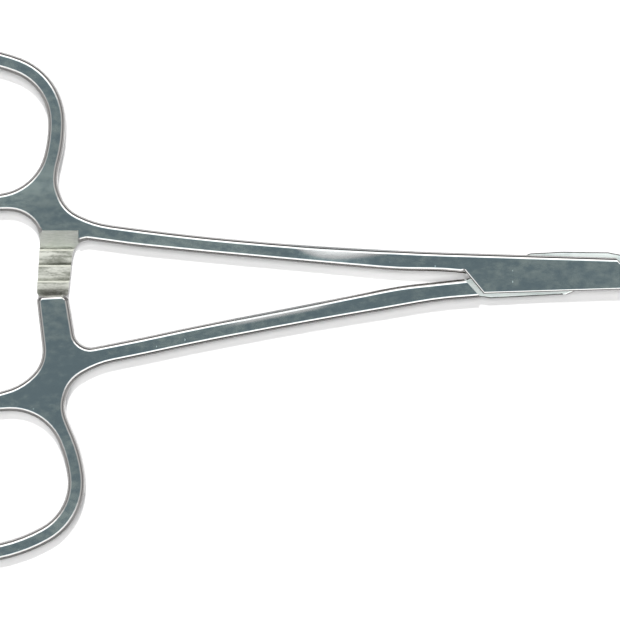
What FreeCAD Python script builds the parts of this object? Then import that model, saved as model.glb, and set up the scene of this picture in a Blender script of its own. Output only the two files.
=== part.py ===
# Straight hemostat forceps with a box lock, 142 mm long, lying flat and a few degrees open.
# Frame: +X along the jaws, +Z along the pivot pin, origin on the pin's axis at the box's underside.
# Each half is drawn in a frame of its own, jaws shut, with its finger ring on the +Y side.
import FreeCAD, Part
import math
import os

import Sketcher
from FreeCAD import Placement, Rotation, Vector

# name, value in millimetres or degrees, meaning
SIZES = [
    ("box_thick", 5.0, "thickness of the box lock, the thickest place"),
    ("handle_thick", 4.0, "thickness of the rings and the shanks behind the slope"),
    ("jaw_tip_thick", 2.2, "thickness of the jaws at their tips"),
    ("slope_rear", -40.0, "x where the shanks start to thicken towards the box"),
    ("slope_front", -16.0, "x where they reach the thickness of the box"),
    ("jaw_slope_lead", 1.1, "distance from a crotch to where the jaws start to thin"),
    ("jaw_slope_run", 4.0, "distance from there to the knee of that slope"),
    ("jaw_tip", 41.0, "x of the tips of the jaws"),
    ("jaw_root_wide", 2.3, "width of one jaw where it leaves the box"),
    ("jaw_tip_wide", 1.15, "width of one jaw at its tip"),
    ("jaw_tip_round", 0.7, "rounding of the jaw's tip in plan"),
    ("bite_gap", 0.02, "half of the gap between the shut jaws"),
    ("edge_break", 0.65, "break of the long edges of the rings and shanks, at 45 degrees"),
    ("box_round", 0.3, "rounding of the edges of the box and the jaws"),
    ("cheek_rear_half", 3.0, "half width of the cheeks at their rear corner"),
    ("cheek_front_half", 2.4, "half width of the cheeks at their front corner"),
    ("cheek_crotch", 12.4, "distance from the pin to either crotch of the box"),
    ("cheek_corner", 9.9, "distance along x from the pin to a corner of the cheeks"),
    ("shoulder_gap", 0.45, "gap between a cheek's slanted edge and the shoulder that faces it"),
    ("web_half", 3.2, "half width of the web inside the box"),
    ("web_thick", 1.8, "thickness of the web"),
    ("web_flat", 2.0, "x to which the web keeps that width on the jaw's side"),
    ("web_front_half", 2.75, "half width of the web at its front corner"),
    ("web_step", 0.9, "run of the step from the web down to the jaw"),
    ("web_root", 0.6, "depth to which the web is rooted in the shank and the jaw"),
    ("web_play", 0.05, "clearance between the web and each cheek"),
    ("wall_end", 4.2, "x distance from the pin to the end of a slot wall"),
    ("wall_play", 0.15, "clearance between the web and the slot's end walls"),
    ("pin_radius", 1.1, "radius of the pivot pin"),
    ("pin_play", 0.05, "radial clearance of the web on the pin"),
    ("rivet_radius", 1.5, "radius of the pin's spread ends"),
    ("rivet_depth", 0.4, "depth of the countersinks that the spread ends fill"),
    ("ring_long", 12.85, "half length of the ring's centre line"),
    ("ring_short", 11.0, "half width of the ring's centre line"),
    ("ring_corner_round", 9.0, "radius of the centre line's four corner arcs"),
    ("ring_end_turn", 8.0, "half of the turn of its end arcs"),
    ("ring_top_turn", 76.0, "turn at which a corner arc runs into the top arc"),
    ("ring_band", 2.5, "width of the ring's band"),
    ("ring_waist_turn", -9.6, "turn round the ring where its outer edge leaves the flare"),
    ("ring_waist_run", 0.8, "straight run of the flare before it"),
    ("arm_back", 10.4, "distance behind the neck of the ratchet arm's inner side"),
    ("arm_wide", 4.7, "width of the ratchet arm"),
    ("arm_tip_round", 0.9, "rounding of the arm's tip in plan"),
    ("tooth_pitch", 2.37, "pitch of the ratchet teeth"),
    ("tooth_high", 0.7, "height of the ratchet teeth"),
    ("tooth_rake", 0.25, "run of a tooth's steep face"),
    ("tooth_break", 0.25, "run of the broken edge along a tooth's crest"),
    ("break_high", 0.1, "height of that broken edge"),
    ("tooth_count", 3, "number of ratchet teeth on an arm"),
    ("tooth_reach", 7.2, "distance from the arm's tip to the first crest"),
    ("recess_run", 2.55, "run of the slope that leads down to the teeth"),
    ("recess_past", 1.7, "how far that slope reaches past the arm's inner side"),
    ("arm_play", 0.05, "clearance of the tooth crests from the middle plane"),
    ("serration_pitch", 0.8, "pitch of the grooves across the jaws"),
    ("serration_deep", 0.35, "depth of those grooves"),
    ("serration_lead", 1.6, "distance from a crotch to the first groove"),
    ("serration_end", 1.2, "plain length left at the jaw's tip"),
    ("cut_spill", 1.0, "how far a cutting profile reaches past the steel"),
    ("open_angle", 3.0, "opening of the jaws at rest"),
    ("root_back", 0.8, "distance of the shank's root behind the rear crotch"),
    ("root_run", 4.0, "run of the shank's edges from its root on, in line with the box"),
    ("thick_x", -22.5, "x of the shank's thick part"),
    ("bend_x", -37.5, "x of its bend"),
    ("slim_x", -52.5, "x of its slim part"),
    ("neck_x", -62.0, "x of its neck, before the ring"),
    ("box_ring_back", 24.9, "box half: distance of the ring's centre behind the neck"),
    ("box_ring_out", 16.3, "box half: distance of the ring's centre outwards from the neck's middle"),
    ("box_ring_tilt", -6.9, "box half: tilt of the ring"),
    ("box_heel_turn", -81.7, "box half: turn round the ring where its outer edge runs into the heel"),
    ("box_heel_run", 5.25, "box half: straight run of the heel after it"),
    ("box_arm_tip", -3.5, "box half: y of the ratchet arm's tip"),
    ("box_root_slope", -6.0, "box half: slope of the shank's inner edge where it meets the crotch"),
    ("box_thick_mid", 1.92, "box half: y of the shank's middle at its thick part"),
    ("box_thick_wide", 3.06, "box half: width there"),
    ("box_bend_mid", 2.98, "box half: y of the middle at the bend"),
    ("box_bend_wide", 2.55, "box half: width there"),
    ("box_slim_mid", 4.35, "box half: y of the middle at the slim part"),
    ("box_slim_wide", 2.5, "box half: width there"),
    ("box_neck_mid", 5.4, "box half: y of the middle at the neck"),
    ("box_neck_wide", 2.7, "box half: width there"),
    ("thru_ring_back", 23.55, "through half: distance of the ring's centre behind the neck"),
    ("thru_ring_out", 18.5, "through half: distance of the ring's centre outwards from the neck's middle"),
    ("thru_ring_tilt", -12.1, "through half: tilt of the ring"),
    ("thru_heel_turn", -89.6, "through half: turn round the ring where its outer edge runs into the heel"),
    ("thru_heel_run", 8.0, "through half: straight run of the heel after it"),
    ("thru_arm_tip", -0.7, "through half: y of the ratchet arm's tip"),
    ("thru_root_slope", -3.0, "through half: slope of the shank's inner edge at the box"),
    ("thru_root_inner", 0.15, "through half: y of the shank's inner edge at the box"),
    ("thru_thick_mid", 2.27, "through half: y of the shank's middle at its thick part"),
    ("thru_thick_wide", 3.26, "through half: width there"),
    ("thru_bend_mid", 4.26, "through half: y of the middle at the bend"),
    ("thru_bend_wide", 2.85, "through half: width there"),
    ("thru_slim_mid", 6.32, "through half: y of the middle at the slim part"),
    ("thru_slim_wide", 2.8, "through half: width there"),
    ("thru_neck_mid", 7.85, "through half: y of the middle at the neck"),
    ("thru_neck_wide", 2.8, "through half: width there"),
]

# Stations along a shank, from the box to the ring. Each has a middle and a width of its own.
STATIONS = ["root", "thick", "bend", "slim", "neck"]

# Corners of the outline round the ring's foot, each rounded off as far as its runs allow. The first number
# counts in widths of the arm, ahead of the side of the arm that is named, and the second in widths of the
# neck, outwards from the named edge of the neck.
FLARE = [(0.85, 0.33), (-0.07, 1.13), (-0.35, 2.53)]  # from the arm's inner side and the neck's outer edge
HEEL = [(0.14, 1.05)]  # from the arm's outer side and the neck's inner edge
CROOK = [(0.2, 0.48), (1.3, 0.22)]  # from the arm's inner side and the neck's inner edge

doc = FreeCAD.newDocument("hemostat_forceps")
sheet = doc.addObject("Spreadsheet::Sheet", "Sizes")
for row, (alias, value, meaning) in enumerate(SIZES, start=1):
    sheet.set(f"A{row}", meaning)
    sheet.set(f"B{row}", str(value))
    sheet.setAlias(f"B{row}", alias)
doc.recompute()

failed = []


def size(alias):
    """One driving dimension, read from the sheet."""
    return float(sheet.get(alias))


MIDDLE = size("box_thick") / 2
TINY = 1e-6  # millimetres, less than this is nothing


# Lines and curves in plan

def direction(degrees):
    return Vector(math.cos(math.radians(degrees)), math.sin(math.radians(degrees)), 0)


def aside(way, distance):
    """A step square to way, to its left."""
    return Vector(-way.y, way.x, 0).normalize() * distance


def meet(start, way, a, b):
    """Where the line from start along way crosses the line through a and b."""
    across = b - a
    away = a - start
    along = (away.x * across.y - away.y * across.x) / (way.x * across.y - way.y * across.x)
    return start + way * along


def polyline(points):
    return [Part.LineSegment(a, b) for a, b in zip(points, points[1:])]


def closed_loop(points):
    return polyline(points + [points[0]])


def tangent_arc(start, way, end):
    """A circle's arc that leaves start along way and ends at end."""
    chord = end - start
    left = math.copysign(1, way.x * chord.y - way.y * chord.x)
    bulge = chord.Length / 2 * math.tan(way.getAngle(chord) / 2)
    return Part.Arc(start, start + chord / 2 - aside(chord, left * bulge), end)


def rounded(points):
    """Straight runs through points, each corner a tangent arc as large as its two runs allow."""
    runs = [b - a for a, b in zip(points, points[1:])]
    shares = [run.Length / 2 for run in runs]
    shares[0], shares[-1] = runs[0].Length, runs[-1].Length
    edges, last = [], points[0]
    for corner, before, after, share, next_share in zip(points[1:], runs, runs[1:], shares, shares[1:]):
        reach = min(share, next_share)
        start = corner - before / before.Length * reach
        end = corner + after / after.Length * reach
        edges += straight(last, start) + [tangent_arc(start, before, end)]
        last = end
    return edges + straight(last, points[-1])


def straight(start, end):
    """A line, or nothing where two arcs meet."""
    return polyline([start, end]) if (end - start).Length > TINY else []


def corner_arc(start, corner, end):
    """A quarter circle from start to end that rounds off the corner between them."""
    centre = start + end - corner
    middle = centre + (corner - centre).normalize() * (start - centre).Length
    return Part.Arc(start, middle, end)


# The finger ring

def ring_centre(half):
    back, out = size(half + "_ring_back"), size(half + "_ring_out")
    return Vector(size("neck_x") - back, size(half + "_neck_mid") + out, 0)


def ring_arcs():
    """Centres and radii of a quarter of the ring's oval: its end, corner and top arcs."""
    corner = size("ring_corner_round")
    end_way, top_way = direction(size("ring_end_turn")), direction(size("ring_top_turn"))
    long, short = size("ring_long") - corner, size("ring_short") - corner
    share = (1 - top_way.y) * (1 - end_way.x) - end_way.y * top_way.x
    end = ((1 - top_way.y) * long - top_way.x * short) / share
    top = ((1 - end_way.x) * short - end_way.y * long) / share
    end_centre, top_centre = Vector(long - end, 0, 0), Vector(0, short - top, 0)
    return [(end_centre, end + corner), (end_centre + end_way * end, corner), (top_centre, top + corner)]


def ring_point(half, turn, offset):
    """A point of the ring, offset outwards, and the way round it. Turn, in degrees, is its way outwards."""
    way = direction(turn)
    quarter = math.degrees(math.atan2(abs(way.y), abs(way.x)))
    number = (quarter > size("ring_end_turn")) + (quarter > size("ring_top_turn"))
    centre, radius = ring_arcs()[number]
    mirrored = Vector(math.copysign(1, way.x) * centre.x, math.copysign(1, way.y) * centre.y, 0)
    point = mirrored + way * (radius + offset)
    turned = Rotation(Vector(0, 0, 1), size(half + "_ring_tilt"))
    return ring_centre(half) + turned.multVec(point), turned.multVec(Vector(-way.y, way.x, 0))


def ring_edges(half, start, end, offset):
    """The ring's oval from one turn to another, offset outwards, as tangent arcs."""
    joints = [size("ring_end_turn"), size("ring_top_turn")]
    joints += [180 - joint for joint in reversed(joints)]
    joints += [joint + 180 for joint in joints]
    joints += [joint - 360 for joint in joints]
    turns = [start] + sorted(joint for joint in joints if start < joint < end) + [end]
    edges = []
    for first, last in zip(turns, turns[1:]):
        places = [ring_point(half, turn, offset)[0] for turn in (first, (first + last) / 2, last)]
        edges.append(Part.Arc(*places))
    return edges


def ring_hole(half):
    return ring_edges(half, 0, 360, -size("ring_band") / 2)


# Shank, ring and ratchet arm

def cheek_line(x):
    """Half width of the box at x: both long edges of the cheeks taper towards the jaws."""
    rear, front, corner = size("cheek_rear_half"), size("cheek_front_half"), size("cheek_corner")
    return rear + (front - rear) * (x + corner) / (2 * corner)


def root_x():
    return -size("cheek_crotch") - size("root_back")


def outer_edge(half, name):
    if name == "root":
        return Vector(root_x(), cheek_line(root_x()), 0)
    return Vector(size(name + "_x"), size(f"{half}_{name}_mid") + size(f"{half}_{name}_wide") / 2, 0)


def inner_edge(half, name):
    if name == "root" and half == "box":
        return Vector(-size("cheek_crotch"), 0, 0)
    if name == "root":
        return Vector(root_x(), size("thru_root_inner"), 0)
    return Vector(size(name + "_x"), size(f"{half}_{name}_mid") - size(f"{half}_{name}_wide") / 2, 0)


def bend_points(half, places, side, edge):
    """Points of FLARE, HEEL or CROOK, from the side of the arm and the edge of the neck."""
    wide, neck = size("arm_wide"), size(half + "_neck_wide")
    return [Vector(side + ahead * wide, edge.y + out * neck, 0) for ahead, out in places]


def arm_tip(half, outer_side, inner_side, heel, crook):
    """Rounded tip of the ratchet arm, between the sides that come from heel and lead on to crook."""
    tip, nose = size(half + "_arm_tip"), size("arm_tip_round")
    first, last = Vector(outer_side, tip, 0), Vector(inner_side, tip, 0)
    down, up, across = (first - heel).normalize(), (crook - last).normalize(), Vector(nose, 0, 0)
    start, end = first - down * nose, last + up * nose
    edges = [tangent_arc(start, down, first + across)] + polyline([first + across, last - across])
    edges.append(tangent_arc(last - across, across, end))
    return start, edges, end


def handle_outline(half):
    """Shank, ring and ratchet arm in plan, from the box's outer edge round to its inner edge."""
    outer = [outer_edge(half, name) for name in STATIONS]
    inner = [inner_edge(half, name) for name in reversed(STATIONS)]
    taper = outer[0] - Vector(size("cheek_corner"), cheek_line(size("cheek_corner")), 0)
    outer.insert(1, outer[0] + taper.normalize() * size("root_run"))
    inner.insert(-1, inner[-1] - direction(size(half + "_root_slope")) * size("root_run"))
    inner_side = size("neck_x") - size("arm_back")
    outer_side = inner_side - size("arm_wide")
    flare = bend_points(half, FLARE, inner_side, outer[-1])
    heel = bend_points(half, HEEL, outer_side, inner[0])
    crook = bend_points(half, CROOK, inner_side, inner[0])
    waist_turn, heel_turn, band = size("ring_waist_turn"), size(half + "_heel_turn"), size("ring_band")
    waist, waist_way = ring_point(half, waist_turn, band / 2)
    foot, foot_way = ring_point(half, heel_turn, band / 2)
    tip_start, tip_edges, tip_end = arm_tip(half, outer_side, inner_side, heel[-1], crook[0])
    edges = rounded(outer + flare + [waist - waist_way * size("ring_waist_run"), waist])
    edges += ring_edges(half, waist_turn, heel_turn + 360, band / 2)
    edges += rounded([foot, foot + foot_way * size(half + "_heel_run")] + heel + [tip_start])
    return edges + tip_edges + rounded([tip_end] + crook + inner)


# Box, web and jaws

def jaw_tip(root):
    """The jaw's outer edge from root on and its rounded tip."""
    tip, nose, wide = size("jaw_tip"), size("jaw_tip_round"), size("jaw_tip_wide")
    corner = Vector(tip, -wide, 0)
    start, end = corner - Vector(nose, 0, 0), corner + Vector(0, nose, 0)
    edges = polyline([root, start]) + [corner_arc(start, corner, end)]
    return edges + polyline([end, Vector(tip, -size("bite_gap"), 0)])


def box_front():
    """Box and jaw of the box half in plan, from the shank's inner edge back to its outer edge."""
    crotch, corner = size("cheek_crotch"), size("cheek_corner")
    rear = [inner_edge("box", "root"), Vector(-corner, -cheek_line(-corner), 0)]
    rear += [Vector(corner, -cheek_line(corner), 0), Vector(crotch, -size("jaw_root_wide"), 0)]
    front = [Vector(size("jaw_tip"), -size("bite_gap"), 0), Vector(crotch, -size("bite_gap"), 0)]
    front += [Vector(corner, cheek_line(corner), 0), outer_edge("box", "root")]
    return polyline(rear) + jaw_tip(rear[-1]) + polyline(front)


def shoulder_line():
    """The through half's rear shoulder: a cheek's slanted edge, moved back by the gap."""
    crotch, corner = size("cheek_crotch"), size("cheek_corner")
    way = Vector(crotch - corner, cheek_line(-corner), 0)
    return Vector(-crotch, 0, 0) + aside(way, size("shoulder_gap")), way


def shoulder_edges():
    """Closes the through half's shank along its shoulder."""
    start, way = shoulder_line()
    inner, outer = inner_edge("thru", "root"), outer_edge("thru", "root")
    low = meet(start, way, inner, inner + direction(size("thru_root_slope")))
    high = meet(start, way, outer, Vector(0, cheek_line(0), 0))
    return polyline([inner, low, high, outer])


def thru_jaw():
    """The through half's jaw in plan, closed along its own shoulder."""
    start, way = shoulder_line()
    back, bite = Vector(0, -size("jaw_root_wide"), 0), Vector(0, -size("bite_gap"), 0)
    along = Vector(1, 0, 0)
    outer = meet(start * -1, way, back, back + along)
    inner = meet(start * -1, way, bite, bite + along)
    knee, end = Vector(size("cheek_crotch"), back.y, 0), Vector(size("jaw_tip"), bite.y, 0)
    return polyline([outer, knee]) + jaw_tip(knee) + polyline([end, inner, outer])


def web_outline():
    """The thin web between the cheeks, reaching into the shank and the jaw at its ends."""
    crotch, end, half, root = size("cheek_crotch"), size("wall_end"), size("web_half"), size("web_root")
    corner, step, back = size("cheek_corner"), size("web_step"), size("jaw_root_wide")
    way = Vector(crotch - end, -cheek_line(-end), 0)
    start = Vector(-crotch, 0, 0) + aside(way, size("wall_play"))
    foot = meet(start, way, Vector(0, -half, 0), Vector(1, -half, 0))
    outer, inner, inside = outer_edge("thru", "root"), inner_edge("thru", "root"), crotch + 2 * root
    shank = [outer + Vector(-root, -root, 0), inner + Vector(-root, root, 0)]
    front = Vector(corner - step, -size("web_front_half"), 0)
    lower = [start, foot, Vector(size("web_flat"), -half, 0), front]
    jaw = [Vector(corner + step, -back, 0), Vector(inside, root - back, 0), Vector(inside, -root, 0)]
    upper = [start * -1, foot * -1, Vector(step - corner, half, 0), Vector(-corner, cheek_line(-corner), 0)]
    return closed_loop(shank + lower + jaw + upper)


def slot_outline():
    """The slot between the cheeks, open at both sides, closed by an end wall before each root."""
    crotch, end, spill = size("cheek_crotch"), size("wall_end"), size("cut_spill")
    wall_top = Vector(-end, cheek_line(-end), 0)
    beyond = meet(Vector(-crotch, 0, 0), wall_top + Vector(crotch, 0, 0), wall_top + Vector(0, spill, 0),
                  wall_top + Vector(1, spill, 0))
    half_loop = [Vector(-crotch, 0, 0), beyond, Vector(crotch + spill, beyond.y, 0)]
    return closed_loop(half_loop + [point * -1 for point in half_loop])


def rivet_profile():
    """Half of the pin's section: its shank and the spread end in each cheek."""
    radius, rivet, deep = size("pin_radius"), size("rivet_radius"), size("rivet_depth")
    thick = size("box_thick")
    lower = [Vector(0, 0, 0), Vector(rivet, 0, 0), Vector(radius, deep, 0)]
    upper = [Vector(radius, thick - deep, 0), Vector(rivet, thick, 0), Vector(0, thick, 0)]
    return closed_loop(lower + upper)


def side_profile(top):
    """What lies above (top 1) or below (top -1) the steel, seen from the side."""
    def at(x, thick):
        return Vector(x, MIDDLE + top * thick / 2, 0)
    box, handle = size("box_thick"), size("handle_thick")
    behind, falls = 2 * size("neck_x"), size("cheek_crotch") + size("jaw_slope_lead")
    start, rear = at(behind, handle), at(size("slope_rear"), handle)
    halfway = at((size("slope_rear") + size("slope_front")) / 2, (handle + box) / 2)
    risen, level = at(size("slope_front"), box), at(falls, box)
    knee = at(falls + size("jaw_slope_run"), box)
    ends = at(size("jaw_tip") + size("cut_spill"), size("jaw_tip_thick"))
    clear = 2 * box
    edges = polyline([start, rear]) + [tangent_arc(rear, Vector(1, 0, 0), halfway)]
    edges += [tangent_arc(risen, Vector(-1, 0, 0), halfway)] + polyline([risen, level])
    edges += rounded([level, knee, ends])
    return edges + polyline([ends, at(ends.x, clear), at(behind, clear), start])


# Features

def new_body(label):
    body = doc.addObject("PartDesign::Body", label)
    body.Label = label
    return body


def origin_feature(body, role):
    return next(feature for feature in body.Origin.OriginFeatures if feature.Role == role)


def volume(body):
    doc.recompute()
    return body.Shape.Volume


def add_sketch(body, name, role, edges):
    sketch = body.newObject("Sketcher::SketchObject", body.Label + "_" + name)
    sketch.AttachmentSupport = (origin_feature(body, role), [""])
    sketch.MapMode = "FlatFace"
    for edge in edges:
        sketch.addGeometry(edge, False)
    doc.recompute()
    return sketch


def add_circle(body, name, radius):
    """A sketch of one circle round the pin's axis, its radius bound to the sheet."""
    round_the_pin = Part.Circle(Vector(0, 0, 0), Vector(0, 0, 1), size("pin_radius"))
    sketch = add_sketch(body, name, "XY_Plane", [round_the_pin])
    sketch.addConstraint(Sketcher.Constraint("Radius", 0, size("pin_radius")))
    sketch.setExpression("Constraints[0]", radius)
    doc.recompute()
    return sketch


def add_pad(body, name, sketch, length):
    pad = body.newObject("PartDesign::Pad", body.Label + "_" + name)
    pad.Profile = sketch
    pad.setExpression("Length", length)
    doc.recompute()
    return pad


def add_pocket(body, name, sketch, length=None):
    """A cut through everything both ways, or along the sketch's normal to a bound length."""
    before = volume(body)
    pocket = body.newObject("PartDesign::Pocket", body.Label + "_" + name)
    pocket.Profile = sketch
    if length is None:
        pocket.Midplane = True
        pocket.Type = "ThroughAll"
    else:
        pocket.setExpression("Length", length)
        pocket.Reversed = True
    if volume(body) >= before:
        failed.append(pocket.Name)
    return pocket


def is_upright(face, edge):
    middle = edge.valueAt((edge.FirstParameter + edge.LastParameter) / 2)
    u, v = face.Surface.parameter(middle)
    return abs(face.normalAt(u, v).z) < 0.05


def rim_edges(shape, wanted):
    """Names of the upper and lower rims of the upright faces whose middle satisfies wanted."""
    names = []
    for number, edge in enumerate(shape.Edges, start=1):
        halfway = (edge.FirstParameter + edge.LastParameter) / 2
        upright = [face for face in shape.ancestorsOfType(edge, Part.Face) if is_upright(face, edge)]
        is_level = abs(edge.tangentAt(halfway).z) < 0.5
        if is_level and len(upright) == 1 and wanted(edge.valueAt(halfway)):
            names.append(f"Edge{number}")
    return names


def add_rims(body, name, kind, wanted, extent, value):
    """A fillet or chamfer along the rims whose middle satisfies wanted, its extent bound to value."""
    doc.recompute()
    base = body.Tip
    rims = body.newObject("PartDesign::" + kind, body.Label + "_" + name)
    rims.Base = (base, rim_edges(base.Shape, wanted))
    rims.setExpression(extent, value)
    doc.recompute()


def add_fillet(body, name, wanted):
    add_rims(body, name, "Fillet", wanted, "Radius", "Sizes.box_round")


def on_handle(point):
    return point.x < root_x()


def on_jaw(point):
    return point.x > size("cheek_crotch") and point.y < -2 * size("bite_gap")


def on_cheek_slant(point):
    between = size("cheek_corner") < abs(point.x) < size("cheek_crotch")
    return between and abs(point.y) < size("cheek_front_half")


def slope_and_round(body):
    sides = add_sketch(body, "sides", "XZ_Plane", side_profile(1) + side_profile(-1))
    add_pocket(body, "slopes", sides)
    add_rims(body, "long_edges", "Chamfer", on_handle, "Size", "Sizes.edge_break")
    add_fillet(body, "jaw_edges", on_jaw)


def add_ratchet(body, half):
    """The arm's upper half is cut away down to the teeth."""
    tip, pitch, rake = size(half + "_arm_tip"), size("tooth_pitch"), size("tooth_rake")
    above, beyond = size("box_thick"), tip - size("cut_spill")
    crest = MIDDLE - size("arm_play")
    valley = crest - size("tooth_high")
    first = tip + size("tooth_reach")
    last = first - size("tooth_count") * pitch
    rise = (MIDDLE + size("handle_thick") / 2 - valley) / size("recess_run")
    points = [Vector(first + rake + (above - valley) / rise, above, 0)]
    for tooth in range(int(size("tooth_count"))):
        y = first - tooth * pitch
        points += [Vector(y + rake, valley, 0), Vector(y, crest - size("break_high"), 0)]
        points.append(Vector(y - size("tooth_break"), crest, 0))
    points += [Vector(last, valley, 0), Vector(beyond, valley, 0), Vector(beyond, above, 0)]
    profile = add_sketch(body, "teeth", "YZ_Plane", closed_loop(points))
    profile.setExpression("AttachmentOffset.Base.z",
                          "Sizes.neck_x - Sizes.arm_back - Sizes.arm_wide - Sizes.cut_spill")
    add_pocket(body, "ratchet", profile, "Sizes.cut_spill + Sizes.arm_wide + Sizes.recess_past")


def add_serrations(body, shift):
    """One groove across the jaw's inner face, repeated along the jaw, moved on by shift pitches."""
    pitch, bite, spill = size("serration_pitch"), -size("bite_gap"), size("cut_spill")
    start = size("cheek_crotch") + size("serration_lead") + shift * pitch
    count = int((size("jaw_tip") - size("serration_end") - start) / pitch)
    groove = [Vector(start, spill, 0), Vector(start, bite, 0)]
    groove.append(Vector(start + pitch / 2, bite - size("serration_deep"), 0))
    groove += [Vector(start + pitch, bite, 0), Vector(start + pitch, spill, 0)]
    pocket = add_pocket(body, "serration", add_sketch(body, "groove", "XY_Plane", closed_loop(groove)))
    pattern = body.newObject("PartDesign::LinearPattern", body.Label + "_serrations")
    pattern.Originals = [pocket]
    pattern.Direction = (origin_feature(body, "X_Axis"), [""])
    pattern.Occurrences = count
    pattern.setExpression("Length", f"{count - 1} * Sizes.serration_pitch")
    body.Tip = pattern
    doc.recompute()


# The three pieces

def make_box_half():
    """The half with the box: the other half's web passes through the slot between its cheeks."""
    body = new_body("box_half")
    plan = add_sketch(body, "plan", "XY_Plane", handle_outline("box") + box_front() + ring_hole("box"))
    add_pad(body, "blank", plan, "Sizes.box_thick")
    slope_and_round(body)
    add_fillet(body, "slant_edges", on_cheek_slant)
    slot = add_sketch(body, "slot_plan", "XY_Plane", slot_outline())
    slot.setExpression("AttachmentOffset.Base.z", "(Sizes.box_thick - Sizes.web_thick) / 2 - Sizes.web_play")
    add_pocket(body, "slot", slot, "Sizes.web_thick + 2 * Sizes.web_play")
    before = volume(body)
    section = add_sketch(body, "rivet_section", "XZ_Plane", rivet_profile())
    seat = body.newObject("PartDesign::Groove", "box_half_rivet_seat")
    seat.Profile = section
    seat.ReferenceAxis = (section, ["V_Axis"])
    if volume(body) >= before:
        failed.append(seat.Name)
    add_ratchet(body, "box")
    add_serrations(body, 0)
    return body


def make_through_half():
    """The half that passes through the box, turned over about the jaws' line and opened."""
    body = new_body("through_half")
    web = add_sketch(body, "web_plan", "XY_Plane", web_outline())
    web.setExpression("AttachmentOffset.Base.z", "(Sizes.box_thick - Sizes.web_thick) / 2")
    add_pad(body, "web", web, "Sizes.web_thick")
    shank_edges = handle_outline("thru") + shoulder_edges() + ring_hole("thru")
    add_pad(body, "shank", add_sketch(body, "shank_plan", "XY_Plane", shank_edges), "Sizes.box_thick")
    add_pad(body, "jaw", add_sketch(body, "jaw_plan", "XY_Plane", thru_jaw()), "Sizes.box_thick")
    slope_and_round(body)
    add_pocket(body, "pin_bore", add_circle(body, "bore", "Sizes.pin_radius + Sizes.pin_play"))
    add_ratchet(body, "thru")
    add_serrations(body, 0.5)
    turned_over = Rotation(Vector(1, 0, 0), 180)
    opened = Rotation(Vector(0, 0, 1), size("open_angle"))
    body.Placement = Placement(Vector(0, 0, size("box_thick")), opened.multiply(turned_over))
    return body


def make_pin():
    """The rivet pin, its ends spread into both cheeks and ground flush."""
    body = new_body("pivot_pin")
    section = add_sketch(body, "section", "XZ_Plane", rivet_profile())
    turned = body.newObject("PartDesign::Revolution", "pivot_pin_turned")
    turned.Profile = section
    turned.ReferenceAxis = (section, ["V_Axis"])
    doc.recompute()
    return body


parts = [make_box_half(), make_through_half(), make_pin()]
doc.recompute()
failed += [item.Name for item in doc.Objects if "Invalid" in item.State or "Error" in item.State]
for part in parts:
    if part.Shape.isNull() or not part.Shape.isValid() or len(part.Shape.Solids) != 1:
        failed.append(part.Label)
if failed:
    raise RuntimeError("failed: " + ", ".join(failed))
os.makedirs("parts", exist_ok=True)
for part in parts:
    part.Shape.exportStep(f"parts/{part.Label}.step")
    print(part.Label, "%.1f mm3" % part.Shape.Volume, len(part.Shape.Faces), "faces")
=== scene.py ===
# Straight hemostat forceps of satin steel, lying flat on white under soft studio light.
# Everything is in metres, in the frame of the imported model: +X along the jaws, +Z along the pivot pin.
# Only the patterns of the materials, and the boxes round faces of another finish, are in millimetres.
import math

import bmesh
import bpy
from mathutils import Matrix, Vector


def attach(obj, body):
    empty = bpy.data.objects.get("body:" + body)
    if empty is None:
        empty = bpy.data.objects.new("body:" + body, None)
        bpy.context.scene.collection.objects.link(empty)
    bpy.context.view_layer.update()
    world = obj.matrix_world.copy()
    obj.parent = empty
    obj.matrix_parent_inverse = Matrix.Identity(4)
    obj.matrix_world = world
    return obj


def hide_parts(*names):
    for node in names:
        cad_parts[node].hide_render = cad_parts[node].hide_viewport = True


MM = 0.001
PHOTO = 620  # pixels each way
PIXEL = 0.151 * MM  # size of one pixel of the photograph at the object
PIVOT_X, PIVOT_Y = 548, 274  # where the pin's axis stands in the photograph
CAMERA_HEIGHT = 0.7

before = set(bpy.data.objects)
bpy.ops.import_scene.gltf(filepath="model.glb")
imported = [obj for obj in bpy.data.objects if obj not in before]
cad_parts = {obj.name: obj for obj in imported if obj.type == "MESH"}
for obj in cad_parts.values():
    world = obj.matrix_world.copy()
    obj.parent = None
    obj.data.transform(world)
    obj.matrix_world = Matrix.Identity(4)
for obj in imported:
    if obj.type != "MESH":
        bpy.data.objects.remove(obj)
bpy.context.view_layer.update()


# Camera

def point_of_pixel(x, y, z=0.0):
    """The place in the frame that lies under a pixel of the photograph."""
    return Vector(((x - PIVOT_X) * PIXEL, (PIVOT_Y - y) * PIXEL, z))


def make_camera():
    """Looks straight down from far off, as a flat scan does."""
    data = bpy.data.cameras.new("camera")
    data.lens = data.sensor_width * CAMERA_HEIGHT / (PHOTO * PIXEL)
    data.clip_start = 0.01
    data.clip_end = 10
    camera = bpy.data.objects.new("camera", data)
    camera.location = point_of_pixel(PHOTO / 2, PHOTO / 2, CAMERA_HEIGHT)
    bpy.context.scene.collection.objects.link(camera)
    bpy.context.scene.camera = camera


# Shader nodes

def add_node(tree, kind, inputs=None, **settings):
    """Adds a shader node. An input takes a plain value, or the socket that feeds it."""
    made = tree.nodes.new("ShaderNode" + kind)
    for name, value in settings.items():
        setattr(made, name, value)
    for key, value in (inputs or {}).items():
        if isinstance(value, bpy.types.NodeSocket):
            tree.links.new(value, made.inputs[key])
        else:
            made.inputs[key].default_value = value
    return made


def calc(tree, operation, a, b=0.0):
    return add_node(tree, "Math", {0: a, 1: b}, operation=operation).outputs[0]


def multiply(tree, product, *factors):
    for factor in factors:
        product = calc(tree, "MULTIPLY", product, factor)
    return product


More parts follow.
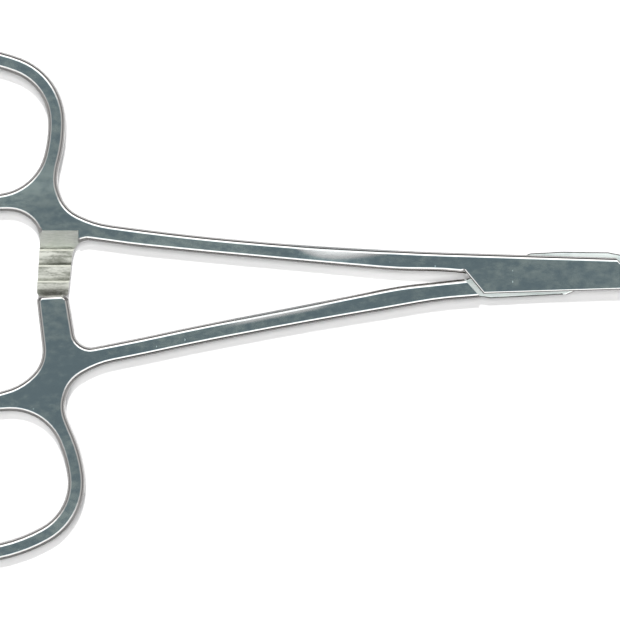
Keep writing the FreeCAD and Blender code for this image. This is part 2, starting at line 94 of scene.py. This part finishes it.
def weigh(tree, *terms):
    """The sum of values times their weights."""
    total = 0.0
    for value, weight in terms:
        total = calc(tree, "ADD", total, multiply(tree, value, weight))
    return total


def above(tree, value, line):
    """How far value lies above line, and nothing below it."""
    return calc(tree, "MAXIMUM", calc(tree, "SUBTRACT", value, line), 0.0)


def remap(tree, value, low, high, to_low=0.0, to_high=1.0):
    """Carries value from low..high to to_low..to_high, smoothly and clamped."""
    inputs = {"Value": value, "From Min": low, "From Max": high, "To Min": to_low, "To Max": to_high}
    return add_node(tree, "MapRange", inputs, interpolation_type="SMOOTHSTEP").outputs[0]


def falls(tree, value, low, high):
    """One up to low, and nothing from high on."""
    return remap(tree, value, low, high, 1.0, 0.0)


def between(tree, value, first, second):
    """One between two borders and nothing beyond them. Each border is where it starts and where it ends."""
    return multiply(tree, remap(tree, value, *first), falls(tree, value, *second))


def mix(tree, factor, a, b):
    return add_node(tree, "Mix", {"Factor": factor, "A": a, "B": b}, data_type="RGBA").outputs["Result"]


def axes(tree, vector):
    """The x, y and z of a vector."""
    return add_node(tree, "SeparateXYZ", {0: vector}).outputs


def in_millimetres(tree, stretch=(1, 1, 1)):
    """Object coordinates in millimetres, for a pattern stretched by a factor along each axis."""
    place = add_node(tree, "TexCoord").outputs["Object"]
    factors = [1 / MM / factor for factor in stretch]
    return add_node(tree, "VectorMath", {0: place, 1: factors}, operation="MULTIPLY").outputs[0]


def noise(tree, scale, rough, stretch=(1, 1, 1)):
    inputs = {"Vector": in_millimetres(tree, stretch), "Scale": scale, "Detail": 3.0, "Roughness": rough}
    return add_node(tree, "TexNoise", inputs).outputs[0]


# Light

# Brightness of the surroundings by the height of a direction above the horizon, in degrees. Beyond the box
# half's side (up in the photograph) and beyond the through half's stands a bright strip each, with a dark
# gap under it. Beyond the ends there are only pale walls. Overhead it is dim, and the flats look grey.
UP_SIDE = [(-90, 1.3), (-32, 1.2), (-20, 0.05), (18, 0.05), (28, 3.0), (76, 3.0), (82, 0.55), (90, 0.48)]
DOWN_SIDE = [(-90, 1.2), (-50, 0.8), (-16, 0.25), (-4, 0.08), (22, 0.1),
             (32, 2.6), (74, 2.6), (81, 0.55), (90, 0.48)]
ENDS = [(-90, 1.2), (-30, 1.0), (-12, 0.3), (25, 0.35), (35, 0.8), (74, 0.8), (81, 0.55), (90, 0.48)]

# A side's share of a direction grows from nothing to all between these turns out of the object's long axis.
SIDE_START, SIDE_FULL = math.radians(20), math.radians(55)


def brightness_at(tree, height, levels):
    """Brightness by height, where the height runs from 0 at the nadir to 1 at the zenith."""
    made = add_node(tree, "ValToRGB", {0: height})
    elements = made.color_ramp.elements
    while len(elements) < len(levels):
        elements.new(0.5)
    brightest = max(level for degrees, level in levels)
    for element, (degrees, level) in zip(elements, levels):
        grey = level / brightest
        element.position = degrees / 180 + 0.5
        element.color = (grey, grey, grey, 1)
    return multiply(tree, made.outputs[0], brightest)


def make_surroundings():
    """What the steel reflects, the pale ground included. The floor gets no light from it."""
    world = bpy.data.worlds.new("studio")
    bpy.context.scene.world = world
    world.use_nodes = True
    world.cycles_visibility.diffuse = False
    tree = world.node_tree
    tree.nodes.clear()
    x, y, z = axes(tree, add_node(tree, "TexCoord").outputs["Generated"])
    height = calc(tree, "ADD", calc(tree, "DIVIDE", calc(tree, "ARCSINE", z), math.pi), 0.5)
    turn = calc(tree, "ARCTAN2", y, calc(tree, "ABSOLUTE", x))
    up = remap(tree, turn, SIDE_START, SIDE_FULL)
    down = falls(tree, turn, -SIDE_FULL, -SIDE_START)
    rest = calc(tree, "SUBTRACT", calc(tree, "SUBTRACT", 1.0, up), down)
    sides = ((UP_SIDE, up), (DOWN_SIDE, down), (ENDS, rest))
    total = weigh(tree, *((brightness_at(tree, height, levels), share) for levels, share in sides))
    light = add_node(tree, "Background", {"Strength": total})
    add_node(tree, "OutputWorld", {"Surface": light.outputs[0]})


def make_sun(name, strength, softness, tilt):
    """A broad lamp far above, tilted towards the box half's side. Reflections don't show it."""
    data = bpy.data.lights.new(name, "SUN")
    data.energy = strength
    data.angle = math.radians(softness)
    lamp = bpy.data.objects.new(name, data)
    lamp.rotation_euler = (math.radians(-tilt), 0, 0)
    lamp.visible_glossy = False
    bpy.context.scene.collection.objects.link(lamp)


def make_floor():
    far = 3.0
    corners = [(-far, -far, 0), (far, -far, 0), (far, far, 0), (-far, far, 0)]
    mesh = bpy.data.meshes.new("floor")
    mesh.from_pydata(corners, [], [(0, 1, 2, 3)])
    floor = bpy.data.objects.new("floor", mesh)
    bpy.context.scene.collection.objects.link(floor)
    material = bpy.data.materials.new("floor_white")
    material.use_nodes = True
    shader = material.node_tree.nodes["Principled BSDF"]
    shader.inputs["Base Color"].default_value = (0.9, 0.9, 0.9, 1)
    shader.inputs["Roughness"].default_value = 0.9
    shader.inputs["Specular IOR Level"].default_value = 0.0
    mesh.materials.append(material)
    floor.visible_glossy = False


# Edges of the halves

BREAK_SLOPE = math.sqrt(0.5)  # z of the normal of a 45-degree break
BREAK_TURN = math.radians(75)  # turn of its shading at the wall, from the flat's normal
WEB_BREAK = 0.13 * MM  # break of the web's edges
WEB_LOW, WEB_HIGH = 1.4 * MM, 3.6 * MM  # within the box, only the web and the slot lie between these heights
WEB_END, CROTCH = 12 * MM, 12.4 * MM  # how far the web's faces and its edges reach from the pin
WELD = 0.0005 * MM


def in_web(middle, reach):
    return abs(middle.x) < reach and WEB_LOW < middle.z < WEB_HIGH


def break_web_edges(soup):
    """Breaks the outer edges of the web's upper and lower faces, which show as thin dark lines."""
    level = {face for face in soup.faces
             if in_web(face.calc_center_median(), WEB_END) and abs(face.normal.z) > 0.99}
    walls = {face for face in soup.faces if abs(face.normal.z) < 0.1}
    edges = [edge for edge in soup.edges if len(edge.link_faces) == 2 and edge.is_convex
             and level & set(edge.link_faces) and walls & set(edge.link_faces)
             and all(abs(vert.co.x) < CROTCH for vert in edge.verts)]
    if not edges:
        return
    made = bmesh.ops.bevel(soup, geom=edges, offset=WEB_BREAK, segments=1,
                           affect="EDGES", clamp_overlap=True)
    layer = soup.loops.layers.float_vector["cad_normal"]
    soup.normal_update()
    for face in made["faces"]:
        for loop in face.loops:
            loop[layer] = face.normal


def merged_copy(node, name):
    """A copy of a node's mesh with its corners joined, that keeps the node's normals as an attribute."""
    mesh = node.data.copy()
    mesh.name = name
    kept = mesh.attributes.new("cad_normal", "FLOAT_VECTOR", "CORNER")
    for item, normal in zip(kept.data, mesh.corner_normals):
        item.vector = normal.vector
    soup = bmesh.new()
    soup.from_mesh(mesh)
    bmesh.ops.remove_doubles(soup, verts=soup.verts, dist=WELD)
    break_web_edges(soup)
    soup.to_mesh(mesh)
    soup.free()
    return mesh


def rounded_normal(own, around):
    """A break's shading at a corner: the flat's normal at its inner edge, nearly the wall's at its outer."""
    near = [other for other in around if other.dot(own) > 0.6]
    flats = [other for other in near if abs(other.z) > 0.9]
    walls = [other for other in near if abs(other.z) < 0.3]
    if flats:
        return sum(flats, Vector()).normalized()
    if walls:
        wall = sum(walls, Vector()).normalized()
        up = Vector((0, 0, math.copysign(1, own.z)))
        return (wall * math.sin(BREAK_TURN) + up * math.cos(BREAK_TURN)).normalized()
    return own


def round_off_breaks(mesh):
    """Shades each long 45-degree break as a rounded edge. The web's breaks are too fine to look round."""
    kept = mesh.attributes["cad_normal"]
    normals = [Vector(item.vector).normalized() for item in kept.data]
    mesh.attributes.remove(kept)
    around = [[] for vertex in mesh.vertices]
    for loop, normal in zip(mesh.loops, normals):
        around[loop.vertex_index].append(normal)
    shaded = list(normals)
    for face in mesh.polygons:
        face.use_smooth = True
        corners = face.loop_indices
        slanted = all(abs(abs(normals[corner].z) - BREAK_SLOPE) <= 0.012 for corner in corners)
        if slanted and not in_web(face.center, CROTCH):
            for corner in corners:
                shaded[corner] = rounded_normal(normals[corner], around[mesh.loops[corner].vertex_index])
    mesh.normals_split_custom_set(shaded)


# Finishes

# The flats' cloud colours are painted darker than the steel: painted shade on faces that look up or down.
DARK_SHADED_FLAT, PALE_SHADED_FLAT = (0.24, 0.33, 0.365, 1), (0.39, 0.485, 0.48, 1)  # clouds on the ground faces
EDGE = (0.62, 0.61, 0.6, 1)  # breaks and walls
# Painted highlight: a paler colour where the face of a shank rolls over.
ROLL_HIGHLIGHT = (0.5, 0.52, 0.52, 1)  # where the face of a shank rolls over
# The web's colours are paler than the steel: a painted reflection of the white it mirrors.
DARK_WEB_SHEEN, PALE_WEB_SHEEN = (0.6, 0.68, 0.66, 1), (0.78, 0.84, 0.82, 1)
DARK_TOOTH, PALE_TOOTH = (0.2, 0.21, 0.18, 1), (0.58, 0.59, 0.54, 1)
DARK_RECESS, PALE_RECESS = (0.72, 0.76, 0.7, 1), (0.92, 0.94, 0.9, 1)  # the slope down to the teeth
CREST = (0.5, 0.51, 0.45, 1)  # broken edges along the teeth
RECESS_END = 3.95  # y where the slope down to the teeth ends


def new_steel(name):
    """A new metal, with its node tree."""
    material = bpy.data.materials.new(name)
    material.use_nodes = True
    material.node_tree.nodes["Principled BSDF"].inputs["Metallic"].default_value = 1.0
    return material, material.node_tree


def feed(tree, colour, rough, height=None):
    """Feeds a metal's shader with its colour and roughness, and its relief in metres."""
    inputs = tree.nodes["Principled BSDF"].inputs
    tree.links.new(colour, inputs["Base Color"])
    tree.links.new(rough, inputs["Roughness"])
    if height is not None:
        bump = add_node(tree, "Bump", {"Height": height, "Strength": 1.0, "Distance": 1.0})
        tree.links.new(bump.outputs[0], inputs["Normal"])


# Where the face of a shank rolls over outwards. A form returns the height of the face in millimetres, how
# dull it is, and where a paler highlight is painted on it.

def upper_shank_form(tree, x, y):
    """The box half's shank rolls over where it turns from its ring's plane to the box."""
    behind, ahead = above(tree, -32.0, x), above(tree, x, -32.0)
    bow = weigh(tree, (multiply(tree, behind, behind), 0.042), (multiply(tree, ahead, ahead), 0.014))
    over = above(tree, y, calc(tree, "ADD", bow, 1.75))
    dull = between(tree, x, (-40.0, -34.0), (-33.0, -24.0))
    # The third value is where a paler highlight is painted along the roll.
    return multiply(tree, over, over, -0.031), dull, remap(tree, over, 0.1, 0.8)


def lower_shank_form(tree, x, y):
    """The through half's shank has a slight roll along the upper half of its face."""
    over = above(tree, y, calc(tree, "ADD", multiply(tree, x, 0.196), 1.23))
    reach = between(tree, x, (-50.5, -45.0), (-36.0, -31.0))
    dull = multiply(tree, remap(tree, over, 0.0, 0.5), reach)
    # The second dull also marks where a paler highlight is painted along the roll.
    return multiply(tree, over, over, -0.04, reach), dull, dull


def satin_steel(name, form=None):
    """Ground and polished steel: soft clouds, a fine grain and a few bright specks. Flats are painted darker
    as shade.
    """
    material, tree = new_steel(name)
    x, y, z = axes(tree, in_millimetres(tree))
    normal_x, normal_y, normal_z = axes(tree, add_node(tree, "NewGeometry").outputs["Normal"])
    cloud = noise(tree, 0.1, 0.5, (2.5, 1, 1))
    mottle = noise(tree, 0.9, 0.55, (1.6, 1, 1))
    grain = noise(tree, 5.0, 0.7)

    places = in_millimetres(tree, (0.75, 1.3, 1))
    cells = add_node(tree, "TexVoronoi", {"Vector": places, "Scale": 0.7}).outputs
    chance = add_node(tree, "SeparateColor", {0: cells["Color"]}).outputs[0]
    speck = multiply(tree, falls(tree, cells["Distance"], 0.02, 0.09), remap(tree, chance, 0.45, 1.0))
    worn = remap(tree, cloud, 0.42, 0.8)
    soft_rim = multiply(tree, falls(tree, normal_y, -0.25, -0.05), falls(tree, x, -72.0, -66.0))

    shade = remap(tree, weigh(tree, (cloud, 0.5), (mottle, 0.5)), 0.38, 0.64)
    # Faces that look up or down take the darkened clouds as painted shade. Walls and breaks take EDGE.
    flat = remap(tree, calc(tree, "ABSOLUTE", normal_z), 0.975, 0.998)
    colour = mix(tree, flat, EDGE, mix(tree, shade, DARK_SHADED_FLAT, PALE_SHADED_FLAT))
    rough = weigh(tree, (0.11, 1.0), (worn, 0.07), (speck, 0.4), (mottle, 0.04), (soft_rim, 0.24))
    height = weigh(tree, (mottle, 0.008 * MM), (grain, 0.0008 * MM), (speck, 0.015 * MM))
    if form:
        rise, dull, highlight_mask = form(tree, x, y)
        # Paints a highlight where the shank's face rolls over.
        colour = mix(tree, highlight_mask, colour, ROLL_HIGHLIGHT)
        rough = weigh(tree, (rough, 1.0), (dull, 0.1))
        height = weigh(tree, (height, 1.0), (rise, MM))
    feed(tree, colour, rough, height)
    return material


def web_steel_painted_sheen(name):
    """The web between the cheeks: duller than the ground faces, and painted paler as a reflection of white.
    """
    material, tree = new_steel(name)
    streaks = noise(tree, 1.0, 0.6, (4, 1, 1))
    colour = mix(tree, remap(tree, streaks, 0.35, 0.65), DARK_WEB_SHEEN, PALE_WEB_SHEEN)
    feed(tree, colour, remap(tree, streaks, 0.3, 0.7, 0.38, 0.5))
    return material


def milled_steel(name):
    """The bare cut faces of the ratchet: dull, warm grey, with marks along the cut."""
    material, tree = new_steel(name)
    y = axes(tree, in_millimetres(tree))[1]
    normal_y = axes(tree, add_node(tree, "NewGeometry").outputs["Normal"])[1]
    streaks = noise(tree, 1.2, 0.6, (5, 1, 1))
    grain = noise(tree, 4.0, 0.7, (2, 1, 1))
    blend = weigh(tree, (streaks, 0.65), (grain, 0.35))
    teeth = mix(tree, remap(tree, blend, 0.36, 0.62), DARK_TOOTH, PALE_TOOTH)
    recess = mix(tree, remap(tree, blend, 0.35, 0.65), DARK_RECESS, PALE_RECESS)
    colour = mix(tree, remap(tree, y, RECESS_END - 0.05, RECESS_END + 0.05), teeth, recess)
    colour = mix(tree, between(tree, normal_y, (0.3, 0.35), (0.4, 0.45)), colour, CREST)
    height = weigh(tree, (streaks, 0.04 * MM), (grain, 0.006 * MM))
    feed(tree, colour, remap(tree, grain, 0.3, 0.7, 0.45, 0.6), height)
    return material


# Boxes round faces of another finish, lowest and highest corner in millimetres: the ratchet's on the two
# arms, and the web's inside the box, which also gets a painted reflection.
MILLED = {"box_half": ((-78, -4, 1.6), (-70, 7.2, 3.95)), "through_half": ((-78, -3, 0.05), (-70, 10, 2.4))}
PAINTED_SHEEN_WEB = {"box_half": ((-12, -4, 1.4), (12, 4, 3.6)), "through_half": ((-12.5, -4, 1.4), (12.5, 4, 3.6))}


def finish_faces(mesh, number, corners, upright):
    """Gives a material to the faces inside a box that look up or down, at least as much as upright says."""
    low, high = corners
    for face in mesh.polygons:
        inside = all(a * MM < middle < b * MM for a, middle, b in zip(low, face.center, high))
        if inside and abs(face.normal.z) > upright:
            face.material_index = number


def dress(node_name, piece_name, material):
    """The shape of a half as a piece of its own, with rounded edges. Its body has the node's name."""
    mesh = merged_copy(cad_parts[node_name], piece_name)
    round_off_breaks(mesh)
    mesh.materials.clear()
    for finish in (material, milled_steel(node_name + "_milled"), web_steel_painted_sheen(node_name + "_web_painted_sheen")):
        mesh.materials.append(finish)
    finish_faces(mesh, 1, MILLED[node_name], 0.25)
    # The web's faces take the steel with the painted reflection.
    finish_faces(mesh, 2, PAINTED_SHEEN_WEB[node_name], 0.95)
    piece = bpy.data.objects.new(piece_name, mesh)
    bpy.context.scene.collection.objects.link(piece)
    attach(piece, node_name)
    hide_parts(node_name)


make_camera()
make_surroundings()
make_sun("overhead_lamp", 2.3, 22, 0)
make_sun("side_lamp", 2.2, 5, 20)
make_floor()

dress("box_half", "box_half_satin", satin_steel("box_half_steel", upper_shank_form))
dress("through_half", "through_half_satin",
      satin_steel("through_half_steel", lower_shank_form))
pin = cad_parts["pivot_pin"]
pin.data.materials.clear()
pin.data.materials.append(satin_steel("pin_steel"))

view = bpy.context.scene.view_settings
view.view_transform = "Standard"
view.look = "None"
